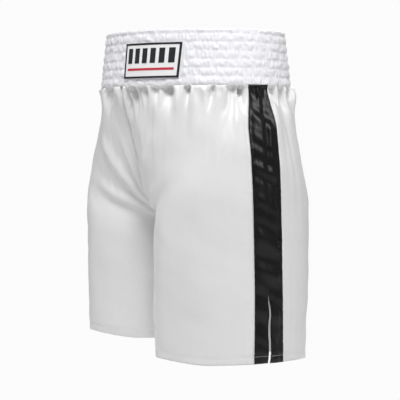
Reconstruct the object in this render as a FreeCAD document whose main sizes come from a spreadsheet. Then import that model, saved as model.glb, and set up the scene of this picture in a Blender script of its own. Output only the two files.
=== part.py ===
import FreeCAD, Part
import math
import os

# Boxing shorts, open as if worn.  Millimetres, +Z up, +X the wearer's left, -Y the front.
# The origin is the middle of the waist opening, level with the top edge of the waistband.
# Each leg hangs on a sideways axis through the hip joint.  The cloth above that joint and the
# cloth of the leg part on a round face about the axis, so that a leg swings clear of the hips.

doc = FreeCAD.newDocument("boxing_shorts")
sheet = doc.addObject("Spreadsheet::Sheet", "Sizes")

SIZES = [
    ("rim_width", 316, "top edge of the waistband, side to side"),
    ("rim_depth", 266, "top edge of the waistband, front to back"),
    ("band_width", 340, "lower edge of the waistband, side to side"),
    ("band_depth", 282, "lower edge of the waistband, front to back"),
    ("band_height", 86, "waistband, top edge to join seam"),
    ("header_height", 7, "gathered header above the first row of stitches"),
    ("band_cloth", 1.2, "one gathered layer of waistband satin"),
    ("elastic_thickness", 1.8, "knitted elastic inside the waistband"),
    ("elastic_clearance", 0.2, "free room each side of the elastic"),
    ("stitch_rows", 6, "rows of stitches through the elastic"),
    ("cloth", 1.5, "satin panel with its seam allowances and creases"),
    ("hip_width", 378, "widest part of the hips, side to side"),
    ("hip_depth", 284, "hips, front to back over the fullest part"),
    ("hip_fullness", 0.26, "how square the hips are at the crotch, 0 is an ellipse"),
    ("hip_dip", 0.35, "how far the centre seam dips in at the crotch, of the half depth"),
    ("dip_narrowness", 16, "how narrow that dip is, a larger number is narrower"),
    ("hinge_drop", 156, "hip joint below the top edge"),
    ("swing_radius", 144, "round face between hips and legs, about the hip joint"),
    ("swing_clearance", 1.5, "free room at that round face"),
    ("leg_clearance", 1.5, "inner leg wall to the middle plane"),
    ("leg_depth", 267, "top of a leg, front to back"),
    ("hem_width", 184, "leg opening, side to side"),
    ("hem_depth", 252, "leg opening, front to back"),
    ("outseam", 510, "top edge to hem on the left leg"),
    ("right_rise", 28, "how much higher the right hem sits"),
    ("saddle_width", 44, "cloth left between the leg holes at the crotch"),
    ("stripe_top", 39, "gathered side stripe at the waistband"),
    ("stripe_width", 55, "side stripe at full width"),
    ("vent_height", 112, "slit in the stripe, up from the hem"),
    ("vent_gap", 3, "slit width as it hangs"),
    ("bartack_height", 7, "stitched stop at the top of the slit"),
    ("hem_height", 11, "hem stitching above the hem edge"),
    ("thread", 0.6, "stitching, width and how far it stands out"),
    ("label_start", 11, "label edge from the centre seam, towards the left leg"),
    ("label_width", 100, "label, measured straight across the front"),
    ("label_height", 54, "label, top to bottom"),
    ("label_drop", 21, "label below the top edge"),
    ("label_thickness", 1.0, "woven label"),
    ("label_gap", 0.2, "label off the gathered satin"),
    ("border_width", 3, "black border round the label"),
    ("print_thickness", 0.4, "raised weave of the border and the emblem"),
    ("bar_count", 6, "upright bars of the emblem"),
    ("bar_height", 23, "emblem bars, top to bottom"),
    ("bar_share", 0.6, "bar width as a share of its pitch"),
    ("emblem_margin", 8, "emblem to the edges of the label"),
    ("line_height", 3.5, "red line under the bars"),
    ("line_rise", 12, "red line above the lower edge of the label"),
]

for row, (alias, value, note) in enumerate(SIZES, start=1):
    sheet.set("A%d" % row, alias)
    sheet.set("B%d" % row, str(value))
    sheet.set("C%d" % row, note)
    sheet.setAlias("B%d" % row, alias)
doc.recompute()

ROOM = 60        # how far cutting solids reach past the cloth
AT_INSEAM = math.pi / 2     # round a leg from its back, to where the inseam lies
PARTS = []       # finished sub-parts, in order


def size(alias):
    return float(sheet.get(alias))


def worth(grow):
    """The number behind a plain grow formula: 0, an alias, or minus one times an alias."""
    if grow == "0":
        return 0.0
    return -size(grow[5:]) if grow.startswith("-1 * ") else size(grow)


def bind(obj, **formulas):
    """Bind properties to formulas over the sheet; words such as rim_width stand for its cells."""
    for prop, formula in formulas.items():
        obj.setExpression(prop.replace("__", "."), spelled(formula))


def spelled(formula):
    words = str(formula).replace("(", " ( ").replace(")", " ) ").split()
    aliases = {alias for alias, _, _ in SIZES}
    return " ".join("Sizes." + word if word in aliases else word for word in words)


def part(obj, label):
    obj.Label = label
    PARTS.append(obj)
    return obj


# ---- cutting solids ---------------------------------------------------------------------------

def box(name, x, y, z, length, width, height):
    """A box with its low corner at x, y, z."""
    obj = doc.addObject("Part::Box", name)
    bind(obj, Length=length, Width=width, Height=height,
         Placement__Base__x=x, Placement__Base__y=y, Placement__Base__z=z)
    return obj


def swingDrum(name, extra):
    """The drum about the hip axis, as long as the hips are wide."""
    obj = doc.addObject("Part::Cylinder", name)
    obj.Placement.Rotation = FreeCAD.Rotation(FreeCAD.Vector(0, 1, 0), -90)
    bind(obj, Radius="swing_radius + %s" % extra, Height="hip_width + 2 * %d" % ROOM,
         Placement__Base__x="hip_width / 2 + %d" % ROOM, Placement__Base__z="-1 * hinge_drop")
    return obj


def boolean(kind, name, *objects):
    obj = doc.addObject("Part::" + kind, name)
    if kind == "Cut":
        obj.Base, obj.Tool = objects
    else:
        obj.Shapes = list(objects)
    return obj


def common(name, *objects):
    return boolean("MultiCommon", name, *objects)


def cut(name, base, tool):
    return boolean("Cut", name, base, tool)


# ---- lofted bodies of cloth ---------------------------------------------------------------------

def ellipse(name, x, z, half_width, half_depth, deep):
    """A level ellipse; deep says that it is longer front to back than side to side."""
    obj = doc.addObject("Part::Ellipse", name)
    major, minor = (half_depth, half_width) if deep else (half_width, half_depth)
    if deep:
        obj.Placement.Rotation = FreeCAD.Rotation(FreeCAD.Vector(0, 0, 1), -90)
    bind(obj, MajorRadius=major, MinorRadius=minor, Placement__Base__x=x, Placement__Base__z=z)
    return obj


def loft(name, sections):
    obj = doc.addObject("Part::Loft", name)
    obj.Sections = sections
    obj.Solid = True
    obj.Ruled = True
    return obj


def bandCone(name, z_low, z_high, grow):
    """The waistband's outer surface between two heights, moved outwards by grow."""
    ends = []
    for end, z in (("low", z_low), ("high", z_high)):
        share = "( ( %s ) / ( -1 * band_height ) )" % z
        half_width = "rim_width / 2 + ( band_width - rim_width ) / 2 * %s + %s" % (share, grow)
        half_depth = "rim_depth / 2 + ( band_depth - rim_depth ) / 2 * %s + %s" % (share, grow)
        ends.append(ellipse(name + "_" + end, 0, z, half_width, half_depth, False))
    return loft(name, ends)


def bandRing(name, z_low, z_high, inner, outer):
    """A ring that follows the waistband, from inner to outer measured off its outer surface."""
    return cut(name, bandCone(name + "_outer", z_low, z_high, outer),
               bandCone(name + "_inner", z_low, z_high, inner))


def legSection(side, half_width, half_depth, z, join):
    """Level outline of one leg, an ellipse that starts and ends join round from its back."""
    middle = FreeCAD.Vector(side * (size("leg_clearance") + half_width[0]), 0, z)
    curve = Part.Ellipse(middle, half_depth, half_width[1])
    curve.XAxis = FreeCAD.Vector(0, 1, 0)
    start = side * join
    return Part.Wire([Part.ArcOfEllipse(curve, start, start + 2 * math.pi).toShape()])


def legSolid(name, side, grow, join):
    """One filled leg, from the hip joint to its hem, moved outwards by grow."""
    top = size("hip_width") / 4 - size("leg_clearance") / 2
    hem = size("hem_width") / 2
    bottom = -size("outseam") + (0 if side > 0 else size("right_rise"))
    obj = doc.addObject("Part::Feature", name)
    obj.Shape = Part.makeLoft([
        legSection(side, (top, top + grow), size("leg_depth") / 2 + grow, -size("hinge_drop"),
                   join),
        legSection(side, (hem, hem + grow), size("hem_depth") / 2 + grow, bottom, join)],
        True, True)
    return obj


def hemHeight(side):
    return "-1 * outseam" if side > 0 else "-1 * outseam + right_rise"


def hipSection(share, grow):
    """Level outline of the hips; share runs from 0 at the waistband to 1 at the crotch."""
    swell = math.sin(share * math.pi / 2)
    half_width = (size("band_width") + (size("hip_width") - size("band_width")) * swell) / 2 + grow
    half_depth = (size("band_depth") + (size("hip_depth") - size("band_depth")) * share) / 2 + grow
    fullness = size("hip_fullness") * swell
    dip = size("hip_dip") * share ** 1.5
    crotch = size("hinge_drop") + size("swing_radius")
    z = -size("band_height") - (crotch - size("band_height")) * share
    points = []
    steps = 24
    for step in range(steps):
        turn = 2 * math.pi * step / steps
        across, along = math.sin(turn), math.cos(turn)
        points.append(FreeCAD.Vector(half_width * across * (1 + fullness * along ** 2),
                                     -half_depth * along * (1 + fullness * across ** 2)
                                     * (1 - dip * abs(along) ** size("dip_narrowness")), z))
    curve = Part.BSplineCurve()
    curve.interpolate(points, PeriodicFlag=True)
    return Part.Wire([curve.toShape()])


def hipSolid(name, grow):
    """The filled hips, moved outwards by grow."""
    shares = (0, 0.2, 0.5, 0.8, 1.1)
    obj = doc.addObject("Part::Feature", name)
    obj.Shape = Part.makeLoft([hipSection(share, grow) for share in shares], True, False)
    return obj


# ---- waistband ----------------------------------------------------------------------------------

def waistband():
    pocket = "( band_cloth + elastic_thickness + 2 * elastic_clearance )"
    casing = bandRing("casing_blank", "-1 * band_height", "0", "-1 * %s - band_cloth" % pocket, "0")
    hollow = bandRing("casing_pocket", "-1 * band_height", "-1 * header_height",
                      "-1 * %s" % pocket, "-1 * band_cloth")
    part(cut("casing", casing, hollow), "waistband_casing")
    part(bandRing("elastic", "-1 * band_height + elastic_clearance",
                  "-1 * header_height - elastic_clearance",
                  "-1 * %s + elastic_clearance" % pocket,
                  "-1 * band_cloth - elastic_clearance"), "waist_elastic")
    rows = []
    for row in range(int(size("stitch_rows"))):
        z = "-1 * header_height - ( band_height - header_height ) / stitch_rows * %d" % row
        rows.append(bandRing("row_%d" % row, z + " - thread", z, "0", "thread"))
    part(doc.addObject("Part::Compound", "rows"), "waistband_stitching").Links = rows
    part(bandRing("join", "-1 * band_height", "-1 * band_height + 2 * thread", "0", "thread"),
         "waist_join_seam")


def labelBlank(name, inner, outer):
    return bandRing(name, "-1 * band_height + thread", "-1 * thread", inner, outer)


def labelBox(name, left, low, wide, high):
    """A cutting box over the label, from left and low of its own lower inner corner."""
    return box(name, "label_start + %s" % left, "-1 * band_depth",
               "-1 * label_drop - label_height + %s" % low, wide, "band_depth", high)


def label():
    back = "( thread + label_gap )"
    front = "( thread + label_gap + label_thickness )"
    raised = "( thread + label_gap + label_thickness + print_thickness )"
    part(common("label_cut", labelBlank("label_ring", back, front),
                labelBox("label_area", "0", "0", "label_width", "label_height")), "label_ground")
    print_ring = labelBlank("print_ring", front, raised)
    edge = common("border_cut", print_ring,
                  labelBox("border_area", "0", "0", "label_width", "label_height"))
    window = labelBox("border_window", "border_width", "border_width",
                      "label_width - 2 * border_width", "label_height - 2 * border_width")
    part(cut("border", edge, window), "label_border")
    bars = []
    pitch = "( ( label_width - 2 * emblem_margin ) / ( bar_count - 1 + bar_share ) )"
    for bar in range(int(size("bar_count"))):
        area = labelBox("bar_area_%d" % bar, "emblem_margin + %s * %d" % (pitch, bar),
                        "label_height - emblem_margin - bar_height", "%s * bar_share" % pitch,
                        "bar_height")
        bars.append(common("bar_%d" % bar, print_ring, area))
    part(doc.addObject("Part::Compound", "bars"), "label_bars").Links = bars
    part(common("line", print_ring, labelBox("line_area", "emblem_margin", "line_rise",
                "label_width - 2 * emblem_margin", "line_height")), "label_line")


# ---- cloth of hips and legs ---------------------------------------------------------------------

def aboveJoint():
    """Everything level with the hip joint or higher."""
    return box("above_joint", "-1 * hip_width", "-1 * hip_depth", "-1 * hinge_drop",
               "2 * hip_width", "2 * hip_depth", "hinge_drop")


def legHole(side):
    """Where a thigh goes through the rounded bottom of the hips."""
    word = "left" if side > 0 else "right"
    half_width = "( hip_width / 4 - saddle_width / 4 - 2 * cloth )"
    middle = "%d * ( saddle_width / 2 + %s )" % (side, half_width)
    ends = [ellipse(word + "_hole_" + end, middle, z, half_width, "leg_depth / 2 - 4 * cloth", True)
            for end, z in (("low", "-1 * outseam"), ("high", "-1 * hinge_drop - swing_radius / 2"))]
    return loft(word + "_hole", ends)


def hipLayer(name, inner, outer, holes):
    """Cloth of the hips from inner to outer, with its rounded bottom and leg holes."""
    walls = []
    for face, grow in (("outer", outer), ("inner", inner)):
        bounds = boolean("MultiFuse", "%s_%s_bounds" % (name, face),
                         swingDrum("%s_%s_drum" % (name, face), "%s" % grow), aboveJoint())
        walls.append(common("%s_%s" % (name, face), hipSolid("%s_%s_solid" % (name, face), worth(grow)),
                            bounds))
    layer = cut(name, walls[0], walls[1])
    for hole in holes:
        layer = cut(name + "_" + hole.Name, layer, hole)
    return layer


def quarter(name, side, end):
    """All space on one side of the middle plane and one side of the side seam plane."""
    x = "0" if side > 0 else "-1 * hip_width"
    y = "-1 * hip_depth" if end < 0 else "0"
    return box(name, x, y, "-1 * outseam", "hip_width", "hip_depth", "outseam")


def stripeWedge(name, side):
    """Space of the side stripe on the hips, widening from the waistband to the crotch."""
    obj = doc.addObject("Part::Wedge", name)
    obj.Placement.Rotation = FreeCAD.Rotation(FreeCAD.Vector(1, 0, 0), -90)
    inner, outer = "hip_width / 4", "hip_width / 2 + %d" % ROOM
    low_x, high_x = (inner, outer) if side > 0 else ("-1 * (%s)" % outer, "-1 * (%s)" % inner)
    bind(obj, Xmin=low_x, X2min=low_x, Xmax=high_x, X2max=high_x,
         Ymin="band_height", Ymax="hinge_drop + swing_radius + swing_clearance",
         Zmin="-1 * stripe_top / 2", Zmax="stripe_top / 2",
         Z2min="-1 * stripe_width / 2", Z2max="stripe_width / 2")
    return obj


def hips():
    holes = [legHole(1), legHole(-1)]
    shell = hipLayer("hip_shell", "-1 * cloth", "0", holes)
    thread = hipLayer("hip_thread", "0", "thread", holes)
    for side, word in ((1, "left"), (-1, "right")):
        wedge = stripeWedge(word + "_hip_wedge", side)
        part(common(word + "_hip_stripe", shell, wedge), "side_stripe_%s_hip" % word)
        for end, face in ((-1, "front"), (1, "back")):
            whole = common("%s_%s_hip_whole" % (face, word), shell,
                           quarter("%s_%s_hip_space" % (face, word), side, end))
            part(cut("%s_%s_hip" % (face, word), whole, wedge), "%s_panel_%s_hip" % (face, word))
        part(edgeThreads(word + "_hip", thread, side, "-1 * outseam"),
             "stripe_stitching_%s_hip" % word)
    for end, face in ((-1, "front"), (1, "back")):
        y = "-1 * hip_depth" if end < 0 else "thread"
        line = box(face + "_seam_space", "-1 * thread / 2", y, "-1 * outseam", "thread",
                   "hip_depth - thread", "outseam - band_height")
        part(common(face + "_seam", thread, line), face + "_centre_seam")


def edgeThreads(name, thread_layer, side, low):
    """Two lines of stitches just outside the edges of a stripe, down to the height low."""
    x = "hip_width / 4" if side > 0 else "-1 * hip_width"
    lines = []
    for end, y in ((-1, "-1 * stripe_width / 2 - 3 * thread"), (1, "stripe_width / 2 + 2 * thread")):
        line = box("%s_line_%s" % (name, "front" if end < 0 else "back"), x, y, low,
                   "3 * hip_width / 4", "thread", "outseam")
        lines.append(line)
    return common(name + "_threads", thread_layer, boolean("MultiFuse", name + "_lines", *lines))


def legLayer(name, side, inner, outer, join):
    """Cloth of one leg from inner to outer, still reaching up to the hip joint."""
    return cut(name, legSolid(name + "_outer", side, worth(outer), join),
               legSolid(name + "_inner", side, worth(inner), join))


def clearOfHips(name, piece):
    """The piece without what would reach into the round face under the hips."""
    return cut(name, piece, swingDrum(name + "_drum", "swing_clearance"))


def leg(side, word):
    shell = legLayer(word + "_leg_shell", side, "-1 * cloth", "0", AT_INSEAM)
    thread = legLayer(word + "_leg_thread", side, "0", "thread", AT_INSEAM - math.pi / 6)
    outer_x = "hip_width / 4" if side > 0 else "-1 * hip_width"
    inner_x = "0" if side > 0 else "-1 * hip_width / 4"
    reach = "3 * hip_width / 4"
    strip = box(word + "_leg_strip", outer_x, "-1 * stripe_width / 2", "-1 * outseam",
                reach, "stripe_width", "outseam")
    vent = box(word + "_vent", outer_x, "-1 * vent_gap / 2", hemHeight(side),
               reach, "vent_gap", "vent_height")
    stripe = common(word + "_leg_stripe_whole", shell, strip)
    part(clearOfHips(word + "_leg_stripe", cut(word + "_leg_stripe_slit", stripe, vent)),
         "side_stripe_%s_leg" % word)
    for end, face in ((-1, "front"), (1, "back")):
        name = "%s_%s_leg" % (face, word)
        whole = common(name + "_whole", shell, quarter(name + "_space", side, end))
        part(clearOfHips(name, cut(name + "_bare", whole, strip)), "%s_panel_%s_leg" % (face, word))
    above_hem = "%s + hem_height + 2 * thread" % hemHeight(side)
    part(clearOfHips(word + "_leg_edges", edgeThreads(word + "_leg", thread, side, above_hem)),
         "stripe_stitching_%s_leg" % word)
    part(cut(word + "_hem_open", common(word + "_hem_ring", thread, box(
        word + "_hem_space", "-1 * hip_width", "-1 * hip_depth",
        "%s + hem_height" % hemHeight(side), "2 * hip_width", "2 * hip_depth", "thread")), vent),
         "hem_stitching_" + word)
    part(clearOfHips(word + "_inseam_line", common(word + "_inseam_cut", thread, box(
        word + "_inseam_space", inner_x, "-1 * thread / 2", above_hem, "hip_width / 4", "thread",
        "outseam"))),
         word + "_inseam")
    part(common(word + "_tack_cut", thread, box(
        word + "_tack_space", outer_x, "-1 * vent_gap", "%s + vent_height" % hemHeight(side),
        reach, "2 * vent_gap", "bartack_height")), "vent_bartack_" + word)


waistband()
label()
hips()
leg(1, "left")
leg(-1, "right")
doc.recompute()

for obj in doc.Objects:
    if "Invalid" in obj.State or "Error" in obj.State:
        raise ValueError("%s failed: %s" % (obj.Name, obj.State))
os.makedirs("parts", exist_ok=True)
for obj in PARTS:
    if obj.Shape.isNull() or not obj.Shape.isValid() or not obj.Shape.Solids:
        raise ValueError("%s has no valid solid" % obj.Label)
for obj in PARTS:
    obj.Shape.exportStep("parts/%s.step" % obj.Label)
    print(obj.Label, len(obj.Shape.Solids), "solids", round(obj.Shape.Volume), "mm3")
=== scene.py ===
import bpy
import bmesh
import math
import numpy as np
from mathutils import Matrix, Vector, noise


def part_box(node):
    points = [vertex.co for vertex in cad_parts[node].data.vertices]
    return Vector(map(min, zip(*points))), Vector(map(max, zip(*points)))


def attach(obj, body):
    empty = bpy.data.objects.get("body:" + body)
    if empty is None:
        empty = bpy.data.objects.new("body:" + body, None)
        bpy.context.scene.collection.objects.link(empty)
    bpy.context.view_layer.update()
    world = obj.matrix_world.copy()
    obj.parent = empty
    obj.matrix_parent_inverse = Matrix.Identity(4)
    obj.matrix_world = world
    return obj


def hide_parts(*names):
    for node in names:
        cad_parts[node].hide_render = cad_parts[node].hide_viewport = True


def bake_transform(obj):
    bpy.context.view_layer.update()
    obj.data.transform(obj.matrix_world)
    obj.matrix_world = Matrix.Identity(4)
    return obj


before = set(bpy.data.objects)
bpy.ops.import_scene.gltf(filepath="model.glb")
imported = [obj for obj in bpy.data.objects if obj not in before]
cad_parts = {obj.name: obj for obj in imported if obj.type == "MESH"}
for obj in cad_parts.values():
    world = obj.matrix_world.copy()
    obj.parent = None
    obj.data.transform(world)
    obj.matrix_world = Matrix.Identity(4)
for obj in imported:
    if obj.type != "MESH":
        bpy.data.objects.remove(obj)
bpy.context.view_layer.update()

# Boxing trunks: satin panels gathered into a shirred elastic waistband, black side stripes
# slit at the hem, and a woven label. +X is the wearer's left, -Y the front, metres.

bandLow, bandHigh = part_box("waistband_casing")
joinZ = bandLow.z                                   # where the panels are sewn to the band
legHem = {1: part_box("side_stripe_left_leg")[0].z, -1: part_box("side_stripe_right_leg")[0].z}
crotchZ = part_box("front_panel_left_hip")[0].z
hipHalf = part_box("side_stripe_left_hip")[1].x       # outermost cloth at the side


def smooth(value):
    value = min(1.0, max(0.0, value))
    return value * value * (3 - 2 * value)


def mix(low, high, share):
    return low + (high - low) * share


def ripple(x, y, z, seed):
    # smooth noise between -1 and 1
    return noise.noise(Vector((x, y, z + 17.3 * seed)))


# the cut of the legs and hips
cut = {
    "frontColumns": 46,         # across one front or back panel
    "stripeColumns": 10,
    "hipRows": 42,              # band to crotch
    "legRows": 44,              # crotch to hem
    "waistDeep": 0.141,         # half depth of the body at the band
    "fullness": 0.2,            # how square the hips get
    "lobeDeep": 0.1335,         # half depth of a leg at the crotch
    "hemHalf": 0.0915,
    "hemDeep": 0.126,
    "seamDip": 0.014,           # centre seams pulled in between the fuller sides
    "backFull": 1.045,          # seat side a little deeper than the front
    "hemLift": 0.008,           # the hem rides up towards the wearer's right front
    "legGap": 0.0022,           # inner leg wall to the middle plane
    "innerClear": 0.0012,       # and the least that settling and folds leave of it
    "sideDrop": 0.174,          # height of the hip rows at the side
    "crotchCurve": 2.2,         # superellipse power of the crotch seam
    "stripeSlant": 0.01,        # the stripe swings back this far on its way to the hem
    "stripeTop": 0.038,
    "stripeWide": 0.055,
    "stripeHem": 0.058,
    "stripeOpens": 0.075,       # gathers let go of the stripe over this drop
    "ventHigh": 0.112,
    "ventGap": 0.0032,
    "flapLift": 0.0012,
}


def stripeHalf(below):
    # half the stripe's width this far below the band
    wide = mix(cut["stripeTop"], cut["stripeWide"], smooth(below / cut["stripeOpens"]))
    return mix(wide, cut["stripeHem"], smooth((below - 0.3) / 0.12)) / 2


def clothPoint(turn, down, side):
    # turn runs 0 at the front seam to pi at the back seam; down is 0 at the band, 1 at the
    # crotch and 2 at the hem; both sides are worked out as the left one, with x outwards
    across, along = math.sin(turn), math.cos(turn)
    gap = cut["legGap"]
    crotchHalf = (hipHalf - gap) / 2
    leg = mix(crotchHalf, cut["hemHalf"], max(0.0, down - 1))
    deep = mix(cut["lobeDeep"], cut["hemDeep"], max(0.0, down - 1))
    legX = gap + leg * (1 - math.cos(2 * turn))
    legY = -deep * math.sin(2 * turn)
    legY *= cut["backFull"] if legY > 0 else 1
    centre = along * along
    rowZ = mix(joinZ - cut["sideDrop"], crotchZ, centre)
    if down >= 1:
        towards = 0.5 * side * math.cos(2 * turn) + 0.87 * math.sin(2 * turn)
        lift = cut["hemLift"] * (down - 1) ** 2 * smooth((towards - 0.2) / 0.8)
        return Vector((legX, legY, mix(rowZ, legHem[side], down - 1) + lift))
    angle = down * math.pi / 2
    power = 2 / cut["crotchCurve"]
    sunk = max(0.0, math.sin(angle)) ** power
    merged = 1 - max(0.0, math.cos(angle)) ** power
    swell = math.sin(angle)
    wide = mix(-bandLow.x, hipHalf, swell)
    full = cut["fullness"] * swell
    bodyX = wide * across * (1 + full * along * along)
    bodyY = -cut["waistDeep"] * along * (1 + full * across * across)
    dip = cut["seamDip"] * smooth(down / 0.14) * math.exp(-(across / 0.2) ** 2)
    bodyY += dip if bodyY < 0 else -dip
    drop = mix(cut["sideDrop"] * down, (joinZ - crotchZ) * sunk, centre)
    return Vector((mix(bodyX, legX, merged), mix(bodyY, legY, merged), joinZ - drop))


def stripeTurn(down, side, sign):
    # the turn at which a stripe edge crosses this row; sign is -1 at the front edge
    low, high = (0.9, math.pi / 2) if sign < 0 else (math.pi / 2, math.pi - 0.9)
    for step in range(22):
        middle = (low + high) / 2
        point = clothPoint(middle, down, side)
        below = joinZ - point.z
        edge = sign * stripeHalf(below) + cut["stripeSlant"] * smooth(below / 0.42)
        if point.y < edge:
            low = middle
        else:
            high = middle
    return (low + high) / 2


def columnTurn(column, first, last):
    front, stripe = cut["frontColumns"], cut["stripeColumns"]
    if column <= front:
        return first * column / front
    if column <= front + stripe:
        return mix(first, last, (column - front) / stripe)
    return mix(last, math.pi, (column - front - stripe) / front)


def fillSide(bm, side):
    # adds one half of the garment to bm: the left for side 1, the right for side -1
    columns = 2 * cut["frontColumns"] + cut["stripeColumns"]
    rows = cut["hipRows"] + cut["legRows"]
    made = bmesh.ops.create_grid(bm, x_segments=columns, y_segments=rows, size=0.5)
    columnLayer = bm.verts.layers.int["column"]
    rowLayer = bm.verts.layers.int["row"]
    sideLayer = bm.verts.layers.int["side"]
    for vert in made["verts"]:
        vert[columnLayer] = round((vert.co.x + 0.5) * columns)
        vert[rowLayer] = round((0.5 - vert.co.y) * rows)
        vert[sideLayer] = side
    downs = [row / cut["hipRows"] for row in range(cut["hipRows"] + 1)]
    downs += [1 + row / cut["legRows"] for row in range(1, cut["legRows"] + 1)]
    edges = [(stripeTurn(down, side, -1), stripeTurn(down, side, 1)) for down in downs]
    for vert in made["verts"]:
        column, row = vert[columnLayer], vert[rowLayer]
        turn = columnTurn(column, *edges[row])
        point = clothPoint(turn, downs[row], side)
        if row <= cut["hipRows"] and column in (0, columns):
            point.x = 0.0
        vert.co = Vector((side * point.x, point.y, point.z))


def buildCloth():
    bm = bmesh.new()
    for layer in ("column", "row", "side"):
        bm.verts.layers.int.new(layer)
    fillSide(bm, 1)
    fillSide(bm, -1)
    bmesh.ops.remove_doubles(bm, verts=bm.verts, dist=0.00002)
    bmesh.ops.recalc_face_normals(bm, faces=bm.faces)
    mesh = bpy.data.meshes.new("cloth")
    bm.to_mesh(mesh)
    bm.free()
    return mesh


# settling the satin: a cloth simulation, pinned where it is sewn to the band
settling = {
    "steps": 22,
    "bandSpare": 0.3,           # extra width gathered in at the band
    "bandFade": 0.022,          # and how fast that is lost going down
    "hipSpare": 0.05,
    "hipFade": 0.12,
    "hold": 0.16,               # pull back to the cut shape, so that the legs keep their form
    "swell": 0.6,               # air pressure inside
    "mostMove": 0.012,          # no point ends up further from where it was cut
    "seedWave": 0.0024,         # first waves, which the gathers start from
    "mass": 0.12, "stretch": 12, "shear": 4, "bend": 0.06, "drag": 2.5, "gravity": 0.3,
    "easeRows": 22, "easeInset": 9, "easeTurns": 60, "easePull": 0.9,
}


def seedWaves(mesh):
    for vert in mesh.vertices:
        below = joinZ - vert.co.z
        share = math.exp(-below / 0.05) * min(1.0, below / 0.004)
        turn = math.atan2(vert.co.x, -vert.co.y)
        wave = ripple(turn * 7.5, below * 12, 0, 1) * settling["seedWave"] * share
        vert.co += vert.normal * wave


def addSpareCloth(cloth, start):
    # a rest shape with extra width, which the simulation has to take up as gathers
    cloth.shape_key_add(name="Basis")
    spare = cloth.shape_key_add(name="spare")
    spare.value = 0.0
    for vert, point in zip(spare.data, start):
        below = joinZ - point.z
        grow = settling["bandSpare"] * math.exp(-below / settling["bandFade"])
        grow += settling["hipSpare"] * math.exp(-below / settling["hipFade"])
        vert.co = Vector((point.x * (1 + grow), point.y * (1 + grow), point.z))
    return spare


def addClothModifier(cloth, pins, spare):
    modifier = cloth.modifiers.new("Cloth", "CLOTH")
    fabric = modifier.settings
    fabric.quality = 5
    fabric.mass = settling["mass"]
    fabric.tension_stiffness = settling["stretch"]
    fabric.compression_stiffness = settling["stretch"]
    fabric.shear_stiffness = settling["shear"]
    fabric.bending_stiffness = settling["bend"]
    fabric.air_damping = settling["drag"]
    fabric.vertex_group_mass = pins.name
    fabric.pin_stiffness = 1.0
    fabric.use_pressure = True
    fabric.uniform_pressure_force = settling["swell"]
    fabric.rest_shape_key = spare
    fabric.effector_weights.gravity = settling["gravity"]
    modifier.collision_settings.use_collision = False
    modifier.collision_settings.use_self_collision = False
    modifier.point_cache.frame_start = 1
    modifier.point_cache.frame_end = settling["steps"]


def sortPoints(start, settled, places):
    # the settled points of each side as a grid, rows going down and columns going round
    columns = 2 * cut["frontColumns"] + cut["stripeColumns"]
    shape = (cut["hipRows"] + cut["legRows"] + 1, columns + 1, 3)
    sides = {1: np.zeros(shape), -1: np.zeros(shape)}
    for before, point, (row, column, side) in zip(start, settled, places):
        move = point - before
        if move.length > settling["mostMove"]:
            point = before + move * (settling["mostMove"] / move.length)
        if row > cut["hipRows"]:
            point.x = side * max(side * point.x, cut["innerClear"])
        sides[side][row, column] = point
        if column in (0, columns) and row <= cut["hipRows"]:
            point.x = 0.0
            sides[1][row, column] = point
            sides[-1][row, column] = point
        elif column in (0, columns):
            sides[side][row, (0, columns)] = point      # the inseam, where the tube closes
    return sides


def settle(mesh):
    cloth = bpy.data.objects.new("satin_blank", mesh)
    bpy.context.scene.collection.objects.link(cloth)
    start = [vert.co.copy() for vert in mesh.vertices]
    seedWaves(mesh)
    places = [[mesh.attributes[layer].data[index].value for layer in ("row", "column", "side")]
              for index in range(len(start))]
    pins = cloth.vertex_groups.new(name="pins")
    for index, (row, column, side) in enumerate(places):
        pins.add([index], 1.0 if row == 0 else settling["hold"], "REPLACE")
    addClothModifier(cloth, pins, addSpareCloth(cloth, start))
    for step in range(1, settling["steps"] + 1):
        bpy.context.scene.frame_set(step)
    graph = bpy.context.evaluated_depsgraph_get()
    settled = [vert.co.copy() for vert in cloth.evaluated_get(graph).data.vertices]
    sides = sortPoints(start, settled, places)
    bpy.context.scene.frame_set(1)
    bpy.data.objects.remove(cloth)
    return {side: easeHipLine(grid) for side, grid in sides.items()}


def easeHipLine(grid):
    # takes the kink out of the surface where the hips turn into the legs
    rows, columns = grid.shape[0] - 1, grid.shape[1] - 1
    reach, inset = settling["easeRows"], settling["easeInset"]
    weight = np.zeros((rows + 1, columns + 1, 1))
    for row in range(1, rows):
        for column in range(columns + 1):
            share = smooth(1 - abs(row - cut["hipRows"]) / reach)
            weight[row, column] = share * smooth(min(column, columns - column) / inset)
    for turn in range(settling["easeTurns"]):
        middle = (grid[:-2] + grid[2:]) / 2
        grid[1:-1] += weight[1:-1] * (middle - grid[1:-1]) * settling["easePull"]
    return grid


print("settling the satin")
settled = settle(buildCloth())


# gathers, folds and puckers, worked along the settled surface
folds = {
    "onset": 0.004,             # the seam holds the first few millimetres flat
    "waves": ((0.0075, 0.013, 0.007), (0.0145, 0.024, 0.0145), (0.03, 0.046, 0.0115),
              (0.065, 0.11, 0.006)),      # width, length and height of each size of gather
    "broad": 0.0045,
    "dimple": 0.0013,
    "stripeCalm": 0.3,          # share of the gathers that reaches into a stripe
    "stripeFold": 0.0036,
    "edgeLip": 0.0007,          # white edge standing proud beside the stripe
    "edgePucker": 0.0012,
    "seamGroove": 0.0014,
    "seamPucker": 0.0016,
    "hemHigh": 0.011,
    "hemGroove": 0.0008,
    "crotch": ((0.004, 0.195, 0.085, 0.06, 0.008, 0.006), (0.003, 0.185, 0.028, 0.06, 0.005, 0.0045),
               (0.006, 0.2, 0.13, 0.14, 0.011, 0.005), (0.01, 0.225, 0.1, 0.33, 0.014, 0.004)),
}                               # across and below at both ends, width, height


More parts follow.
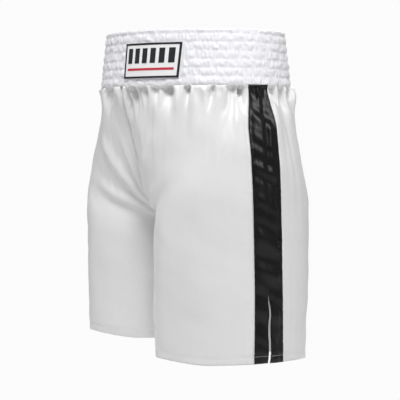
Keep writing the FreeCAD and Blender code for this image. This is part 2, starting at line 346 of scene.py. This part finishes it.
def refine(grid):
    # twice the rows and columns, on a smooth curve through the old ones
    for axis in (0, 1):
        grid = np.moveaxis(grid, axis, 0)
        before = np.concatenate([2 * grid[:1] - grid[1:2], grid[:-1]])
        after = np.concatenate([grid[1:], 2 * grid[-1:] - grid[-2:-1]])
        finer = np.zeros((2 * len(grid) - 1,) + grid.shape[1:])
        finer[::2] = grid
        finer[1::2] = (9 * (grid[:-1] + grid[1:]) - before[:-1] - after[1:]) / 16
        grid = np.moveaxis(finer, 0, axis)
    return grid


def ridge(x, y, seed):
    # noise with sharp crests, as gathered satin has
    return 0.34 - 2.4 * abs(ripple(x, y, 0, seed))


def gather(around, below):
    height = 0.0
    for index, (wide, long, high) in enumerate(folds["waves"]):
        reach = long * (1 + 0.7 * ripple(around / 0.045, 0, 0, index))
        fade = math.exp(-(below / reach) ** 2)
        lean = around + 0.25 * below * ripple(around / 0.06, 3, 0, index + 5)
        height += high * fade * ridge(lean / wide, below / (4 * long), index + 10)
    return height * smooth(below / folds["onset"])


def crotchFold(across, below, side):
    # soft folds that run from the crotch up and outwards
    height = 0.0
    for index, (x0, z0, x1, z1, wide, high) in enumerate(folds["crotch"]):
        sway = 1 + 0.12 * side * ripple(index, 2, 0, 31)
        dx, dz = (x1 - x0) * sway, z1 - z0
        share = ((across - x0) * dx + (below - z0) * dz) / (dx * dx + dz * dz)
        off = abs((across - x0) * dz - (below - z0) * dx) / math.hypot(dx, dz)
        spread = wide * (0.7 + 0.8 * max(0.0, share))
        ends = smooth(share / 0.25) * smooth((1.1 - share) / 0.6)
        height += high * math.exp(-(off / spread) ** 2) * ends
    return height


def workFolds(grid, side):
    rows, columns = grid.shape[0] - 1, grid.shape[1] - 1
    normal = side * np.cross(np.gradient(grid, axis=0), np.gradient(grid, axis=1))
    length = np.linalg.norm(normal, axis=2, keepdims=True)
    normal = normal / np.maximum(length, 1e-12)
    steps = np.linalg.norm(np.diff(grid, axis=1), axis=2)
    run = np.concatenate([np.zeros((rows + 1, 1)), np.cumsum(steps, axis=1)], axis=1)
    first = 2 * cut["frontColumns"]
    last = first + 2 * cut["stripeColumns"]
    hipRows = 2 * cut["hipRows"]
    halfRound = run[0, -1]
    lift = np.zeros((rows + 1, columns + 1))
    for row in range(rows + 1):
        hem = run[row, -1]
        for column in range(columns + 1):
            x, y, z = grid[row, column]
            below = joinZ - z
            around = side * halfRound * column / columns
            worn = gather(around, below)
            worn += folds["broad"] * ripple(around / 0.07, z / 0.1, 0, 21)
            worn += folds["dimple"] * ripple(around / 0.03 + z / 0.05, z / 0.034, 0, 22)
            along = run[row, column]
            fromEdge = min(abs(along - run[row, first]), abs(along - run[row, last]))
            seams = folds["edgePucker"] * ripple(z / 0.005, y * 9, 0, 23) * math.exp(-fromEdge / 0.006)
            if first <= column <= last:
                worn *= folds["stripeCalm"]
                slant = ripple(y / 0.05 + z / 0.06, z / 0.02 + side * y / 0.05, 0, 24)
                worn += folds["stripeFold"] * slant * smooth(fromEdge / 0.012)
                worn += seams * 0.4
            else:
                worn += seams + folds["edgeLip"] * math.exp(-(fromEdge / 0.004) ** 2)
            across = min(along, hem - along)
            if row <= hipRows:
                worn -= folds["seamGroove"] * math.exp(-(across / 0.0025) ** 2)
                pucker = ripple(z / 0.0065, side * 4, 0, 25) * math.exp(-across / 0.008)
                worn += folds["seamPucker"] * pucker
            worn += crotchFold(across, below, side) * smooth(abs(y) / 0.03)
            fromHem = z - grid[rows, column, 2]
            groove = math.exp(-((fromHem - folds["hemHigh"]) / 0.0015) ** 2)
            worn -= folds["hemGroove"] * groove * (1 + ripple(around / 0.004, 0, 0, 26))
            if row > hipRows:
                worn = min(worn, abs(x) * 0.5 + cut["innerClear"]) if abs(x) < 0.004 else worn
            lift[row, column] = worn
    moved = grid + normal * lift[:, :, None]
    moved[0] = grid[0]
    moved[:, :, 0] = side * np.maximum(side * moved[:, :, 0], 0.0)
    legs = moved[hipRows + 1:]
    legs[:, :, 0] = side * np.maximum(side * legs[:, :, 0], cut["innerClear"])
    moved[:hipRows + 1, (0, -1), 0] = 0.0
    legs[:, (0, -1)] = (legs[:, :1] + legs[:, -1:]) / 2
    return moved


def closeCentre(sides):
    # both sides share one line down the front and back seams
    hipRows = 2 * cut["hipRows"]
    for column in (0, -1):
        shared = (sides[1][:hipRows + 1, column] + sides[-1][:hipRows + 1, column]) / 2
        for grid in sides.values():
            grid[:hipRows + 1, column] = shared
    crotch = (sides[1][hipRows, 0] + sides[1][hipRows, -1]) / 2
    for grid in sides.values():
        grid[hipRows, (0, -1)] = crotch
    return sides


print("working the gathers and folds")
satin = closeCentre({side: workFolds(refine(settled[side]), side) for side in (1, -1)})


# materials
def newGroup(name, inputs, outputs):
    tree = bpy.data.node_groups.new(name, "ShaderNodeTree")
    for label, kind, value in inputs:
        socket = tree.interface.new_socket(label, in_out="INPUT", socket_type=kind)
        if value is not None:
            socket.default_value = value
    for label, kind in outputs:
        tree.interface.new_socket(label, in_out="OUTPUT", socket_type=kind)
    return tree, tree.nodes.new("NodeGroupInput"), tree.nodes.new("NodeGroupOutput")


def addNode(tree, kind, **settings):
    node = tree.nodes.new(kind)
    for key, value in settings.items():
        setattr(node, key, value)
    return node


def mathNode(tree, operation, first, second):
    node = addNode(tree, "ShaderNodeMath", operation=operation)
    for socket, value in zip(node.inputs, (first, second)):
        if isinstance(value, (int, float)):
            socket.default_value = value
        else:
            tree.links.new(value, socket)
    return node.outputs[0]


def makeWeave():
    # floats of thread along one way and a finer grain across it
    tree, source, result = newGroup("threadWeave", [
        ("Vector", "NodeSocketVector", None), ("Threads", "NodeSocketFloat", 900.0),
        ("Cross", "NodeSocketFloat", 0.5)],
        [("Height", "NodeSocketFloat"), ("Tone", "NodeSocketFloat")])
    warp = addNode(tree, "ShaderNodeTexWave", wave_type="BANDS", bands_direction="X")
    weft = addNode(tree, "ShaderNodeTexWave", wave_type="BANDS", bands_direction="Y")
    for wave in (warp, weft):
        wave.inputs["Distortion"].default_value = 1.2
        wave.inputs["Detail"].default_value = 1.0
        tree.links.new(source.outputs["Vector"], wave.inputs["Vector"])
        tree.links.new(mathNode(tree, "MULTIPLY", source.outputs["Threads"], 0.3), wave.inputs["Scale"])
    slub = addNode(tree, "ShaderNodeTexNoise")
    tree.links.new(source.outputs["Vector"], slub.inputs["Vector"])
    tree.links.new(mathNode(tree, "MULTIPLY", source.outputs["Threads"], 0.12), slub.inputs["Scale"])
    cross = mathNode(tree, "MULTIPLY", weft.outputs["Fac"], source.outputs["Cross"])
    height = mathNode(tree, "ADD", warp.outputs["Fac"], cross)
    tree.links.new(mathNode(tree, "ADD", height, slub.outputs["Fac"]), result.inputs["Height"])
    tree.links.new(slub.outputs["Fac"], result.inputs["Tone"])
    return tree


def makeMottle():
    # slow change of tone and gloss over the cloth, where it has been pressed and handled
    tree, source, result = newGroup("handledMottle", [
        ("Vector", "NodeSocketVector", None), ("Size", "NodeSocketFloat", 14.0)],
        [("Mask", "NodeSocketFloat")])
    noiseNode = addNode(tree, "ShaderNodeTexNoise")
    noiseNode.inputs["Detail"].default_value = 3.0
    tree.links.new(source.outputs["Vector"], noiseNode.inputs["Vector"])
    tree.links.new(source.outputs["Size"], noiseNode.inputs["Scale"])
    tree.links.new(noiseNode.outputs["Fac"], result.inputs["Mask"])
    return tree


weaveGroup = makeWeave()
mottleGroup = makeMottle()


def clothMaterial(name, light, dark, rough, glossy, threads, cross, bump, depth, sheen=0.0, useUv=True,
                  mottle=14.0):
    material = bpy.data.materials.new(name)
    material.use_nodes = True
    tree = material.node_tree
    shader = tree.nodes["Principled BSDF"]
    place = addNode(tree, "ShaderNodeTexCoord")
    along = place.outputs["UV"] if useUv else place.outputs["Object"]
    weave = addNode(tree, "ShaderNodeGroup", node_tree=weaveGroup)
    weave.inputs["Threads"].default_value = threads
    weave.inputs["Cross"].default_value = cross
    tree.links.new(along, weave.inputs["Vector"])
    spots = addNode(tree, "ShaderNodeGroup", node_tree=mottleGroup)
    spots.inputs["Size"].default_value = mottle
    tree.links.new(place.outputs["Object"], spots.inputs["Vector"])
    tone = addNode(tree, "ShaderNodeMix", data_type="RGBA")
    tone.inputs["A"].default_value = (*light, 1)
    tone.inputs["B"].default_value = (*dark, 1)
    share = mathNode(tree, "MULTIPLY", spots.outputs["Mask"], weave.outputs["Tone"])
    tree.links.new(share, tone.inputs["Factor"])
    tree.links.new(tone.outputs["Result"], shader.inputs["Base Color"])
    gloss = addNode(tree, "ShaderNodeMath", operation="MULTIPLY_ADD")
    gloss.inputs[1].default_value = 0.12
    gloss.inputs[2].default_value = rough - 0.06
    tree.links.new(spots.outputs["Mask"], gloss.inputs[0])
    tree.links.new(gloss.outputs[0], shader.inputs["Roughness"])
    bumpNode = addNode(tree, "ShaderNodeBump")
    bumpNode.inputs["Strength"].default_value = bump
    bumpNode.inputs["Distance"].default_value = depth
    tree.links.new(weave.outputs["Height"], bumpNode.inputs["Height"])
    tree.links.new(bumpNode.outputs["Normal"], shader.inputs["Normal"])
    shader.inputs["Specular IOR Level"].default_value = glossy
    shader.inputs["Sheen Weight"].default_value = sheen
    shader.inputs["Sheen Roughness"].default_value = 0.4
    return material


materials = {
    "white_satin": clothMaterial("white_satin", (0.82, 0.82, 0.82), (0.75, 0.75, 0.755), 0.34, 0.75,
                                 2600, 0.3, 0.12, 0.00004, 0.1),
    "band_satin": clothMaterial("band_satin", (0.86, 0.86, 0.89), (0.79, 0.79, 0.83), 0.42, 0.5,
                                2600, 0.5, 0.2, 0.00006, 0.15),
    "black_satin": clothMaterial("black_satin", (0.003, 0.003, 0.004), (0.002, 0.002, 0.003), 0.27, 0.3,
                                 2600, 0.3, 0.15, 0.00004),
    "white_thread": clothMaterial("white_thread", (0.86, 0.86, 0.87), (0.76, 0.76, 0.78), 0.5, 0.4,
                                  5200, 0.2, 0.5, 0.00008, useUv=False),
    "black_thread": clothMaterial("black_thread", (0.02, 0.02, 0.022), (0.01, 0.01, 0.011), 0.45, 0.4,
                                  5200, 0.2, 0.5, 0.00008, useUv=False),
    "elastic": clothMaterial("elastic", (0.8, 0.8, 0.79), (0.66, 0.66, 0.66), 0.7, 0.3,
                             900, 1.0, 0.8, 0.0003, useUv=False),
    "label_white": clothMaterial("label_white", (0.9, 0.9, 0.9), (0.82, 0.82, 0.83), 0.55, 0.35,
                                 1900, 1.0, 0.5, 0.00012, useUv=False),
    "label_black": clothMaterial("label_black", (0.016, 0.018, 0.022), (0.01, 0.011, 0.014), 0.55, 0.35,
                                 1900, 1.0, 0.6, 0.00012, useUv=False),
    "label_red": clothMaterial("label_red", (0.62, 0.03, 0.06), (0.45, 0.02, 0.04), 0.55, 0.35,
                               1900, 1.0, 0.6, 0.00012, useUv=False),
}


def addPiece(name, bm, slotName, nodes, side=0, wall=0.0):
    # side 0 rides on the hips; 1 and -1 run from the hips down the left or right leg and stay where they
    # are, with their transform baked in
    mesh = bpy.data.meshes.new(name)
    bm.to_mesh(mesh)
    bm.free()
    mesh.materials.append(materials[slotName])
    for face in mesh.polygons:
        face.use_smooth = True
    piece = bpy.data.objects.new(name, mesh)
    bpy.context.scene.collection.objects.link(piece)
    if wall:
        solidify = piece.modifiers.new("wall", "SOLIDIFY")
        solidify.thickness = wall
        solidify.offset = -1
    if side == 0:
        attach(piece, "hips")
    else:
        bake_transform(piece)
    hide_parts(*nodes)
    return piece


sideName = {1: "left", -1: "right"}


# front and back panels
panelWall = 0.0008


def clothUv(bm, place):
    uv = bm.loops.layers.uv.new("cloth")
    for face in bm.faces:
        for loop in face.loops:
            loop[uv].uv = place(loop.vert.co)


def panelGrid(grid, columns):
    # the part of a side's surface between two columns, as a bmesh
    rows = grid.shape[0] - 1
    first, last = columns
    bm = bmesh.new()
    bmesh.ops.create_grid(bm, x_segments=last - first, y_segments=rows, size=0.5)
    for vert in bm.verts:
        column = first + round((vert.co.x + 0.5) * (last - first))
        row = round((0.5 - vert.co.y) * rows)
        vert.co = Vector(grid[row, column])
    return bm


def buildPanel(side, word, columns):
    bm = panelGrid(satin[side], columns)
    bmesh.ops.remove_doubles(bm, verts=bm.verts, dist=0.00001)
    turnOut(bm, Vector((side * 0.09, 0, -0.25)))
    clothUv(bm, lambda point: (point.x, point.z))
    name = f"{word}_panel_{sideName[side]}"
    piece = addPiece(name, bm, "white_satin", (name + "_hip", name + "_leg"), side, panelWall)
    return piece


def turnOut(bm, middle):
    # makes an open piece of cloth face away from this point
    away = sum(face.normal.dot(face.calc_center_median() - middle) * face.calc_area()
               for face in bm.faces)
    if away < 0:
        bmesh.ops.reverse_faces(bm, faces=bm.faces)


# side stripes, slit from the hem
def openVent(point, side, near, back):
    # moves a point of the stripe as its slit opens; near is 1 beside the slit, 0 at the edge
    below = legHem[side] + cut["ventHigh"] - point.z
    if below > 0:
        point.y += cut["ventGap"] / 2 * smooth(below / 0.03) * near * (1 if back else -1)
        point.x += side * cut["flapLift"] * smooth(below / 0.05) * near * (1 if back else -0.4)
    return point


def buildStripe(side):
    grid = satin[side]
    first = 2 * cut["frontColumns"]
    half = cut["stripeColumns"]
    rows = grid.shape[0] - 1
    ventTop = legHem[side] + cut["ventHigh"]
    bm = bmesh.new()
    bmesh.ops.create_grid(bm, x_segments=2 * half + 1, y_segments=rows, size=0.5)
    middle = [face for face in bm.faces if abs(face.calc_center_median().x) < 0.001]
    for vert in bm.verts:
        column = round((vert.co.x + 0.5) * (2 * half + 1))
        row = round((0.5 - vert.co.y) * rows)
        back = column > half
        point = Vector(grid[row, first + column - (1 if back else 0)])
        near = 1 - abs(column - half - 0.5) / (half + 0.5)
        vert.co = openVent(point, side, near, back)
    slit = [face for face in middle if face.calc_center_median().z < ventTop]
    bmesh.ops.delete(bm, geom=slit, context="FACES_ONLY")
    bmesh.ops.remove_doubles(bm, verts=bm.verts, dist=0.00001)
    turnOut(bm, Vector((0, 0, -0.25)))
    clothUv(bm, lambda point: (point.y, point.z))
    name = f"side_stripe_{sideName[side]}"
    piece = addPiece(name, bm, "black_satin", (name + "_hip", name + "_leg"), side, panelWall)
    return piece


print("cutting the panels and stripes")
firstStripe = 2 * cut["frontColumns"]
lastStripe = firstStripe + 2 * cut["stripeColumns"]
for side in (1, -1):
    buildPanel(side, "front", (0, firstStripe))
    buildPanel(side, "back", (lastStripe, satin[side].shape[1] - 1))
    buildStripe(side)


# the shirred waistband
band = {
    "rimHalf": 0.158, "rimDeep": 0.133,     # half width and depth at the top edge
    "lowDeep": 0.141,
    "columns": 700,
    "header": 0.007,
    "rows": 6,                  # rows of stitching
    "channelSteps": 7,
    "headerSteps": 4,
    "innerSteps": 12,
    "rollSteps": 4,             # over the top edge
    "round": 0.155,             # mean radius, which turns are measured along
    "thick": 0.0046,            # both walls with the elastic between them
    "puff": 0.0014,
    "crinkle": 0.0021,
    "crinkleWide": 0.0042,
    "joinFade": 0.03,           # turn over which the lifts die away at the back, where the ring closes
    "wall": 0.0005,
    "flat": (1.3, 0.18),        # before it was gathered on the elastic
}
pitch = (-joinZ - band["header"]) / band["rows"]
labelLow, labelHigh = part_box("label_ground")


def bandPoint(turn, z, inward=0.0):
    share = z / joinZ
    half = mix(band["rimHalf"], -bandLow.x, share) - inward
    deep = mix(band["rimDeep"], band["lowDeep"], share) - inward
    return Vector((half * math.sin(turn), -deep * math.cos(turn), z))


def underLabel(point):
    margin = 0.003
    inside = point.y < 0 and labelLow.x - margin < point.x < labelHigh.x + margin
    return inside and labelLow.z - margin < point.z < labelHigh.z + margin


def bandLift(turn, z):
    # puffed channels between the rows of stitching, crinkled by the gathered cloth
    depth = (-z - band["header"]) / pitch
    channel = math.floor(depth)
    share = depth - channel
    puff = max(0.0, math.sin(math.pi * share)) ** 0.7
    around = turn * band["round"]
    sway = 0.0016 * ripple(around / 0.02, z / 0.004, 0, 40 + channel)
    fine = ridge((around + sway) / band["crinkleWide"], z / 0.02, 50 + channel)
    coarse = ripple((around + sway) / 0.01, z / 0.009, 0, 60 + channel)
    height = band["puff"] * (puff - 0.6)
    height += band["crinkle"] * (0.25 + 0.75 * puff) * (0.8 * fine + 0.9 * coarse)
    return max(-0.0011, height) * smooth((math.pi - abs(turn)) / band["joinFade"])


def outerPoint(turn, up):
    # up counts the rows from the roll at the top edge down to the join
    if up < band["headerSteps"]:
        z = mix(-band["thick"] / 2, -band["header"], up / band["headerSteps"])
    else:
        z = -band["header"] - pitch * (up - band["headerSteps"]) / band["channelSteps"]
    lift = bandLift(turn, z)
    if underLabel(bandPoint(turn, z)):
        lift = min(lift, -0.0003)
    return bandPoint(turn, z, -lift)


def bandSurface(turn, row, outerSteps):
    # up the outside, over the top edge and down the inside
    roll = band["thick"] / 2
    backFade = smooth((math.pi - abs(turn)) / band["joinFade"])
    if row <= outerSteps:
        return outerPoint(turn, outerSteps - row)
    if row <= outerSteps + band["rollSteps"]:
        angle = (row - outerSteps) / band["rollSteps"] * math.pi
        ruffle = 0.0005 * ripple(turn * 30, 1, 0, 70) * backFade
        z = -roll + (roll + ruffle - 0.0006) * math.sin(angle)
        return bandPoint(turn, min(z, -0.0002), roll * (1 - math.cos(angle)))
    z = mix(-roll, joinZ, (row - outerSteps - band["rollSteps"]) / band["innerSteps"])
    return bandPoint(turn, z, band["thick"] + 0.0008 * ridge(turn * 26, z * 20, 71) * backFade)


def buildWaistband():
    outerSteps = band["headerSteps"] + band["rows"] * band["channelSteps"]
    rows = outerSteps + band["rollSteps"] + band["innerSteps"]
    bm = bmesh.new()
    bmesh.ops.create_grid(bm, x_segments=band["columns"], y_segments=rows, size=0.5)
    for vert in bm.verts:
        turn = (vert.co.x + 0.5) * 2 * math.pi - math.pi
        vert.co = bandSurface(turn, round((0.5 - vert.co.y) * rows), outerSteps)
    bmesh.ops.remove_doubles(bm, verts=bm.verts, dist=0.00002)
    bmesh.ops.recalc_face_normals(bm, faces=bm.faces)
    outward = sum(face.normal.xy.dot(face.calc_center_median().xy) for face in bm.faces
                  if face.calc_center_median().xy.length > 0.15)
    if outward < 0:
        bmesh.ops.reverse_faces(bm, faces=bm.faces)
    clothUv(bm, lambda point: (math.atan2(point.x, -point.y) * band["round"], point.z))
    piece = addPiece("waistband", bm, "band_satin", ("waistband_casing",), 0, band["wall"])
    return piece


print("gathering the waistband")
buildWaistband()


# stitching: short capsules of thread along a line
stitch = {
    "long": 0.0031, "gap": 0.0008, "thick": 0.00028,
    "sunk": 0.0001,
    "ringSteps": 720,           # points round the band
    "besideStripe": 0.0018,
    "tackThick": 0.0002, "tackHalf": 0.0013, "tackStep": 0.0006, "tackHigh": 0.009,
}


def resample(points, step):
    # the same line in even steps
    lengths = [0.0]
    for before, after in zip(points, points[1:]):
        lengths.append(lengths[-1] + (after - before).length)
    count = max(1, round(lengths[-1] / step))
    result, index = [], 0
    for number in range(count + 1):
        target = lengths[-1] * number / count
        while index < len(lengths) - 2 and lengths[index + 1] < target:
            index += 1
        span = max(lengths[index + 1] - lengths[index], 1e-9)
        result.append(points[index].lerp(points[index + 1], (target - lengths[index]) / span))
    return result


def sew(bm, points, thick=stitch["thick"]):
    for start, end in zip(points, points[1:]):
        middle = (start + end) / 2
        along = end - start
        length = along.length - stitch["gap"]
        if length > thick:
            size = Vector((thick, thick, length / 2))
            matrix = Matrix.LocRotScale(middle, along.to_track_quat("Z", "Y"), size)
            bmesh.ops.create_icosphere(bm, subdivisions=1, radius=1, matrix=matrix)


def rowPoints(side, column, shift=0.0, top=0.0):
    # a line down one column of the worked satin, moved along it by a share of a column
    grid = satin[side]
    other = column + (1 if shift > 0 else -1)
    away = np.linalg.norm(grid[:, other] - grid[:, column], axis=1, keepdims=True)
    line = grid[:, column] + (grid[:, other] - grid[:, column]) / np.maximum(away, 1e-6) * abs(shift)
    return [Vector(point) for point in line if joinZ - point[2] >= top]


def raised(points, middle, height):
    # pushed off the surface, away from an upright line
    result = []
    for point in points:
        away = Vector((point.x - middle[0], point.y - middle[1], 0))
        result.append(point + away.normalized() * height)
    return result


def sewBand():
    rows = bmesh.new()
    for row in range(band["rows"]):
        z = -band["header"] - row * pitch
        ring = []
        for turn in ringTurns:
            under = underLabel(bandPoint(turn, z))
            height = -0.0006 if under else bandLift(turn, z) + stitch["sunk"]
            ring.append(bandPoint(turn, z, -height))
        sew(rows, resample(ring, step))
    addPiece("waistband_stitches", rows, "white_thread", ("waistband_stitching",))


def sewJoin():
    join = bmesh.new()
    z = joinZ + 0.0012
    sew(join, resample([bandPoint(turn, z, -bandLift(turn, z)) for turn in ringTurns], step))
    addPiece("waist_join_stitches", join, "white_thread", ("waist_join_seam",))


def sewCentre(word, column):
    seam = bmesh.new()
    line = [Vector(point) for point in satin[1][:2 * cut["hipRows"] - 3, column]]
    sew(seam, resample(line, step))
    addPiece(word + "_centre_stitches", seam, "white_thread", (word + "_centre_seam",))


def sewStripe(side, legMiddle):
    word = sideName[side]
    seam = bmesh.new()
    for column, shift in ((firstStripe, -stitch["besideStripe"]), (lastStripe, stitch["besideStripe"])):
        line = raised(rowPoints(side, column, shift, 0.002), legMiddle, 0.0002)
        sew(seam, resample(line, step))
    addPiece(f"stripe_stitches_{word}", seam, "white_thread",
             (f"stripe_stitching_{word}_hip", f"stripe_stitching_{word}_leg"), side)


def hemLine(side):
    # a line round the leg, one hem's height above its edge
    line = []
    for column, run in enumerate(satin[side].swapaxes(0, 1)):
        wanted = run[-1, 2] + folds["hemHigh"]
        index = int(np.argmax(run[:, 2] < wanted))
        share = (wanted - run[index, 2]) / (run[index - 1, 2] - run[index, 2])
        point = Vector(run[index] + (run[index - 1] - run[index]) * share)
        near = 1 - abs(column - firstStripe - cut["stripeColumns"]) / cut["stripeColumns"]
        if near > 0:
            point = openVent(point, side, near, column > firstStripe + cut["stripeColumns"])
        line.append(point)
    return line


def sewHem(side, legMiddle):
    word = sideName[side]
    hem = bmesh.new()
    sew(hem, resample(raised(hemLine(side), legMiddle, 0.0001), step))
    addPiece(f"hem_stitches_{word}", hem, "white_thread", (f"hem_stitching_{word}",), side)


def sewInseam(side):
    word = sideName[side]
    inseam = bmesh.new()
    line = [Vector(point) for point in satin[side][2 * cut["hipRows"] + 3:, 0]]
    sew(inseam, resample(line, step))
    addPiece(f"inseam_stitches_{word}", inseam, "white_thread", (f"{word}_inseam",), side)


def sewBartack(side):
    # a close zigzag across the top of the slit
    word = sideName[side]
    tack = bmesh.new()
    top = legHem[side] + cut["ventHigh"]
    line = [Vector(point) for point in satin[side][:, firstStripe + cut["stripeColumns"]]]
    near = [point for point in line if top - 0.001 < point.z < top + stitch["tackHigh"]]
    zigzag = []
    for index, point in enumerate(resample(near, stitch["tackStep"])):
        across = stitch["tackHalf"] if index % 2 else -stitch["tackHalf"]
        zigzag.append(point + Vector((side * 0.0003, across, 0)))
    for start, end in zip(zigzag, zigzag[1:]):
        size = Vector((stitch["tackThick"], stitch["tackThick"], (end - start).length / 2))
        matrix = Matrix.LocRotScale((start + end) / 2, (end - start).to_track_quat("Z", "Y"), size)
        bmesh.ops.create_icosphere(tack, subdivisions=1, radius=1, matrix=matrix)
    addPiece(f"vent_bartack_stitches_{word}", tack, "black_thread", (f"vent_bartack_{word}",), side)


print("sewing")
step = stitch["long"] + stitch["gap"]
ringTurns = [math.tau * index / stitch["ringSteps"] - math.pi for index in range(stitch["ringSteps"] + 1)]
sewBand()
sewJoin()
sewCentre("front", 0)
sewCentre("back", -1)
for side in (1, -1):
    legMiddle = (side * (cut["legGap"] + cut["hemHalf"]), 0)
    sewStripe(side, legMiddle)
    sewHem(side, legMiddle)
    sewInseam(side)
    sewBartack(side)


# pieces kept from the CAD model
kept = {
    "waist_elastic": "elastic",
    "label_ground": "label_white",
    "label_border": "label_black",
    "label_bars": "label_black",
    "label_line": "label_red",
}
for node, slotName in kept.items():
    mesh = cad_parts[node].data
    mesh.materials.clear()
    mesh.materials.append(materials[slotName])


# floor, light and camera
studio = {
    "floorZ": -0.75, "floorRound": 7.0, "wallHigh": 5.0, "corner": 2.0,
    "floorWhite": 0.97,
    "worldWhite": 0.3,
    "key": ((0.9, -0.64, 1.32), 0.6, 23.5),
    "fill": ((-1.3, -1.6, 1.8), 1.4, 20.0),
    "side": ((2.5, 1.5, 1.0), 0.9, 17.0),
    "rear": ((-1.8, 2.4, 1.8), 1.6, 32.0),
    "azimuth": 55.0, "distance": 3.0, "eyeZ": -0.187, "aimZ": -0.265, "aside": 0.008,
    "lens": 168.75,
}


def buildStudio():
    bm = bmesh.new()
    bmesh.ops.create_circle(bm, cap_ends=True, segments=96, radius=studio["floorRound"])
    bmesh.ops.translate(bm, verts=bm.verts, vec=(0, 0, studio["floorZ"]))
    edges = list(bm.edges)
    steps = 8
    for step in range(1, steps + 2):
        out = bmesh.ops.extrude_edge_only(bm, edges=edges)["geom"]
        verts = [item for item in out if isinstance(item, bmesh.types.BMVert)]
        edges = [item for item in out if isinstance(item, bmesh.types.BMEdge)]
        angle = min(step, steps) / steps * math.pi / 2
        radius = studio["floorRound"] + studio["corner"] * math.sin(angle)
        z = studio["floorZ"] + studio["corner"] * (1 - math.cos(angle))
        z += studio["wallHigh"] if step > steps else 0
        for vert in verts:
            flat = Vector((vert.co.x, vert.co.y, 0)).normalized() * radius
            vert.co = Vector((flat.x, flat.y, z))
    mesh = bpy.data.meshes.new("floor")
    bm.to_mesh(mesh)
    bm.free()
    for face in mesh.polygons:
        face.use_smooth = True
    floor = bpy.data.objects.new("floor", mesh)
    bpy.context.scene.collection.objects.link(floor)
    material = bpy.data.materials.new("pale_floor")
    material.use_nodes = True
    tree = material.node_tree
    shader = tree.nodes["Principled BSDF"]
    shader.inputs["Base Color"].default_value = (0.9, 0.9, 0.9, 1)
    shader.inputs["Roughness"].default_value = 0.9
    glow = addNode(tree, "ShaderNodeEmission")
    glow.inputs["Color"].default_value = (1, 1, 1, 1)
    glow.inputs["Strength"].default_value = studio["floorWhite"]
    path = addNode(tree, "ShaderNodeLightPath")
    blend = addNode(tree, "ShaderNodeMixShader")
    tree.links.new(path.outputs["Is Camera Ray"], blend.inputs[0])
    tree.links.new(shader.outputs["BSDF"], blend.inputs[1])
    tree.links.new(glow.outputs["Emission"], blend.inputs[2])
    tree.links.new(blend.outputs["Shader"], tree.nodes["Material Output"].inputs["Surface"])
    mesh.materials.append(material)


def addLight(name, place, size, power):
    light = bpy.data.lights.new(name, "AREA")
    light.shape = "DISK"
    light.size = size
    light.energy = power
    lamp = bpy.data.objects.new(name, light)
    lamp.location = place
    aim = Vector((0, 0, -0.25)) - Vector(place)
    lamp.rotation_euler = aim.to_track_quat("-Z", "Y").to_euler()
    bpy.context.scene.collection.objects.link(lamp)


def addCamera():
    angle = math.radians(studio["azimuth"])
    towards = Vector((math.sin(angle), -math.cos(angle), 0))
    aside = Vector((math.cos(angle), math.sin(angle), 0)) * studio["aside"]
    camera = bpy.data.objects.new("camera", bpy.data.cameras.new("camera"))
    camera.data.lens = studio["lens"]
    camera.data.sensor_width = 36
    eye = aside + towards * studio["distance"] + Vector((0, 0, studio["eyeZ"]))
    camera.location = eye
    aim = aside + Vector((0, 0, studio["aimZ"])) - eye
    camera.rotation_euler = aim.to_track_quat("-Z", "Y").to_euler()
    bpy.context.scene.collection.objects.link(camera)
    bpy.context.scene.camera = camera


print("setting up the studio")
buildStudio()
for name in ("key", "fill", "side", "rear"):
    addLight(name, *studio[name])
world = bpy.data.worlds.new("studio")
world.use_nodes = True
world.node_tree.nodes["Background"].inputs["Color"].default_value = (*[studio["worldWhite"]] * 3, 1)
bpy.context.scene.world = world
bpy.context.scene.view_settings.view_transform = "Standard"
addCamera()
